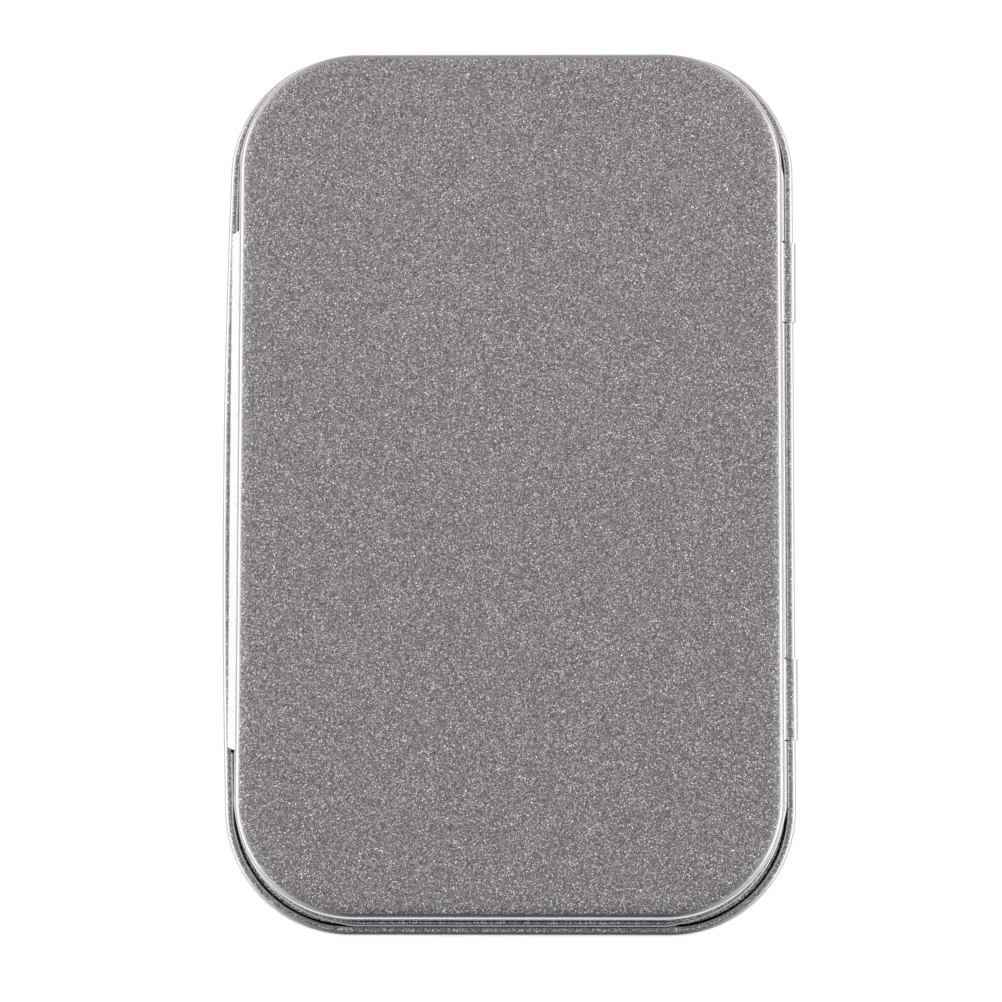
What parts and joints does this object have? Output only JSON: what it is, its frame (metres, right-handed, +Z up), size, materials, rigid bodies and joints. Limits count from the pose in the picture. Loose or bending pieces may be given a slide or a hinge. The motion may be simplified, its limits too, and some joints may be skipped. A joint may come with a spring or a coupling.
{
  "type": "hinged metal tin",
  "caption": "Flat rounded rectangular tin with a lid that swings on curled tabs at its back and a flared finger lip at its front.",
  "frame": {"origin": "under the middle of the flat bottom, at the centre of the ridge's rectangle", "axes": "+X along the hinge and the long side, +Y to the hinge side, so the finger lip is at -Y, +Z up out of the lid"},
  "size_m": [0.094, 0.0608, 0.021],
  "materials": {
    "base_tinplate": "satin tinplate",
    "lid_tinplate": "satin tinplate"
  },
  "bodies": {
    "base": {"tin_base": "base_tinplate"},
    "lid": {"tin_lid": "lid_tinplate"}
  },
  "joints": [
    {"name": "lid_hinge", "type": "hinge", "parent": "base", "child": "lid", "pos_m": [0, 0.0294, 0.0129], "axis": [-1, 0, 0], "range_deg": [0, 110]}
  ]
}
